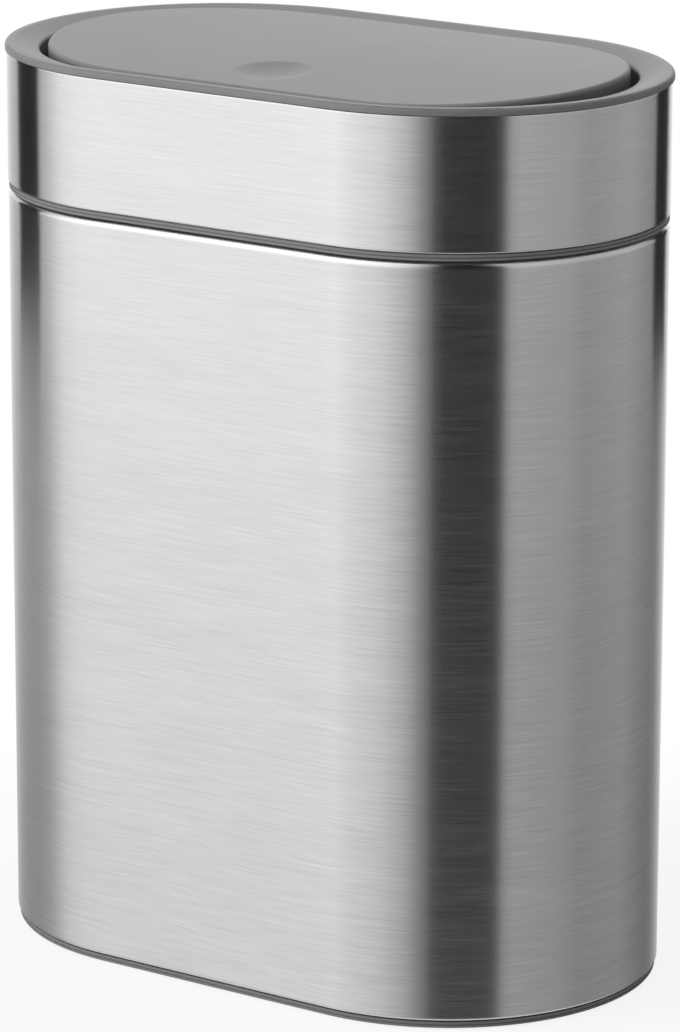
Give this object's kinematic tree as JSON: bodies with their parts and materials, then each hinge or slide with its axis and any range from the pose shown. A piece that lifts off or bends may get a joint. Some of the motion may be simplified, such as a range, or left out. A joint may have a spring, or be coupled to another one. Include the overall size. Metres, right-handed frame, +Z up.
{
  "type": "push top countertop bin",
  "caption": "Slim round-ended countertop waste bin in brushed steel, with a lift-off lid, a push-to-open counterweighted flap and a lift-out inner bucket.",
  "frame": {"origin": "centre of the footprint, on the surface that the bin stands on", "axes": "+Z up, +X along the bin's length, -Y towards the front, where the flap is pushed"},
  "size_m": [0.2094, 0.1284, 0.2709],
  "materials": {
    "brushed_stainless": "fine horizontal brushing, clear lacquered",
    "satin_grey_abs": "satin moulded, neutral mid grey",
    "dark_grey_pp": "moulded, dark grey, slightly waxy",
    "natural_acetal": "natural off-white, smooth",
    "black_rubber": "matt black, soft",
    "grey_tpe": "matt grey, soft",
    "zinc_plated_steel": "bright zinc plate"
  },
  "bodies": {
    "bin_body": {"body_shell": "brushed_stainless", "base_plate": "satin_grey_abs", "foot_pads": "black_rubber", "floor_panel": "dark_grey_pp", "base_screws": "zinc_plated_steel", "mouth_frame": "satin_grey_abs"},
    "bucket": {"inner_bucket": "dark_grey_pp"},
    "lid": {"lid_band": "brushed_stainless", "lid_rim": "satin_grey_abs", "lid_collar": "satin_grey_abs", "spigot_gasket": "grey_tpe", "lid_screws": "zinc_plated_steel", "rest_pads": "black_rubber", "pivot_bush_left": "natural_acetal", "pivot_bush_right": "natural_acetal", "bush_keeper_left": "satin_grey_abs", "bush_keeper_right": "satin_grey_abs", "keeper_screws": "zinc_plated_steel"},
    "flap": {"flap_top": "satin_grey_abs", "flap_pan": "satin_grey_abs", "counterweight": "zinc_plated_steel", "flap_screws": "zinc_plated_steel", "pivot_pin_left": "zinc_plated_steel", "pivot_pin_right": "zinc_plated_steel"}
  },
  "joints": [
    {"name": "bucket_lift", "type": "slide", "parent": "bin_body", "child": "bucket", "axis": [0, 0, 1], "range_m": [0, 0.215]},
    {"name": "lid_lift", "type": "slide", "parent": "bucket", "child": "lid", "axis": [0, 0, 1], "range_m": [0, 0.06]},
    {"name": "flap_push", "type": "hinge", "parent": "lid", "child": "flap", "pos_m": [0, 0, 0.26], "axis": [1, 0, 0], "range_deg": [0, 80]}
  ]
}
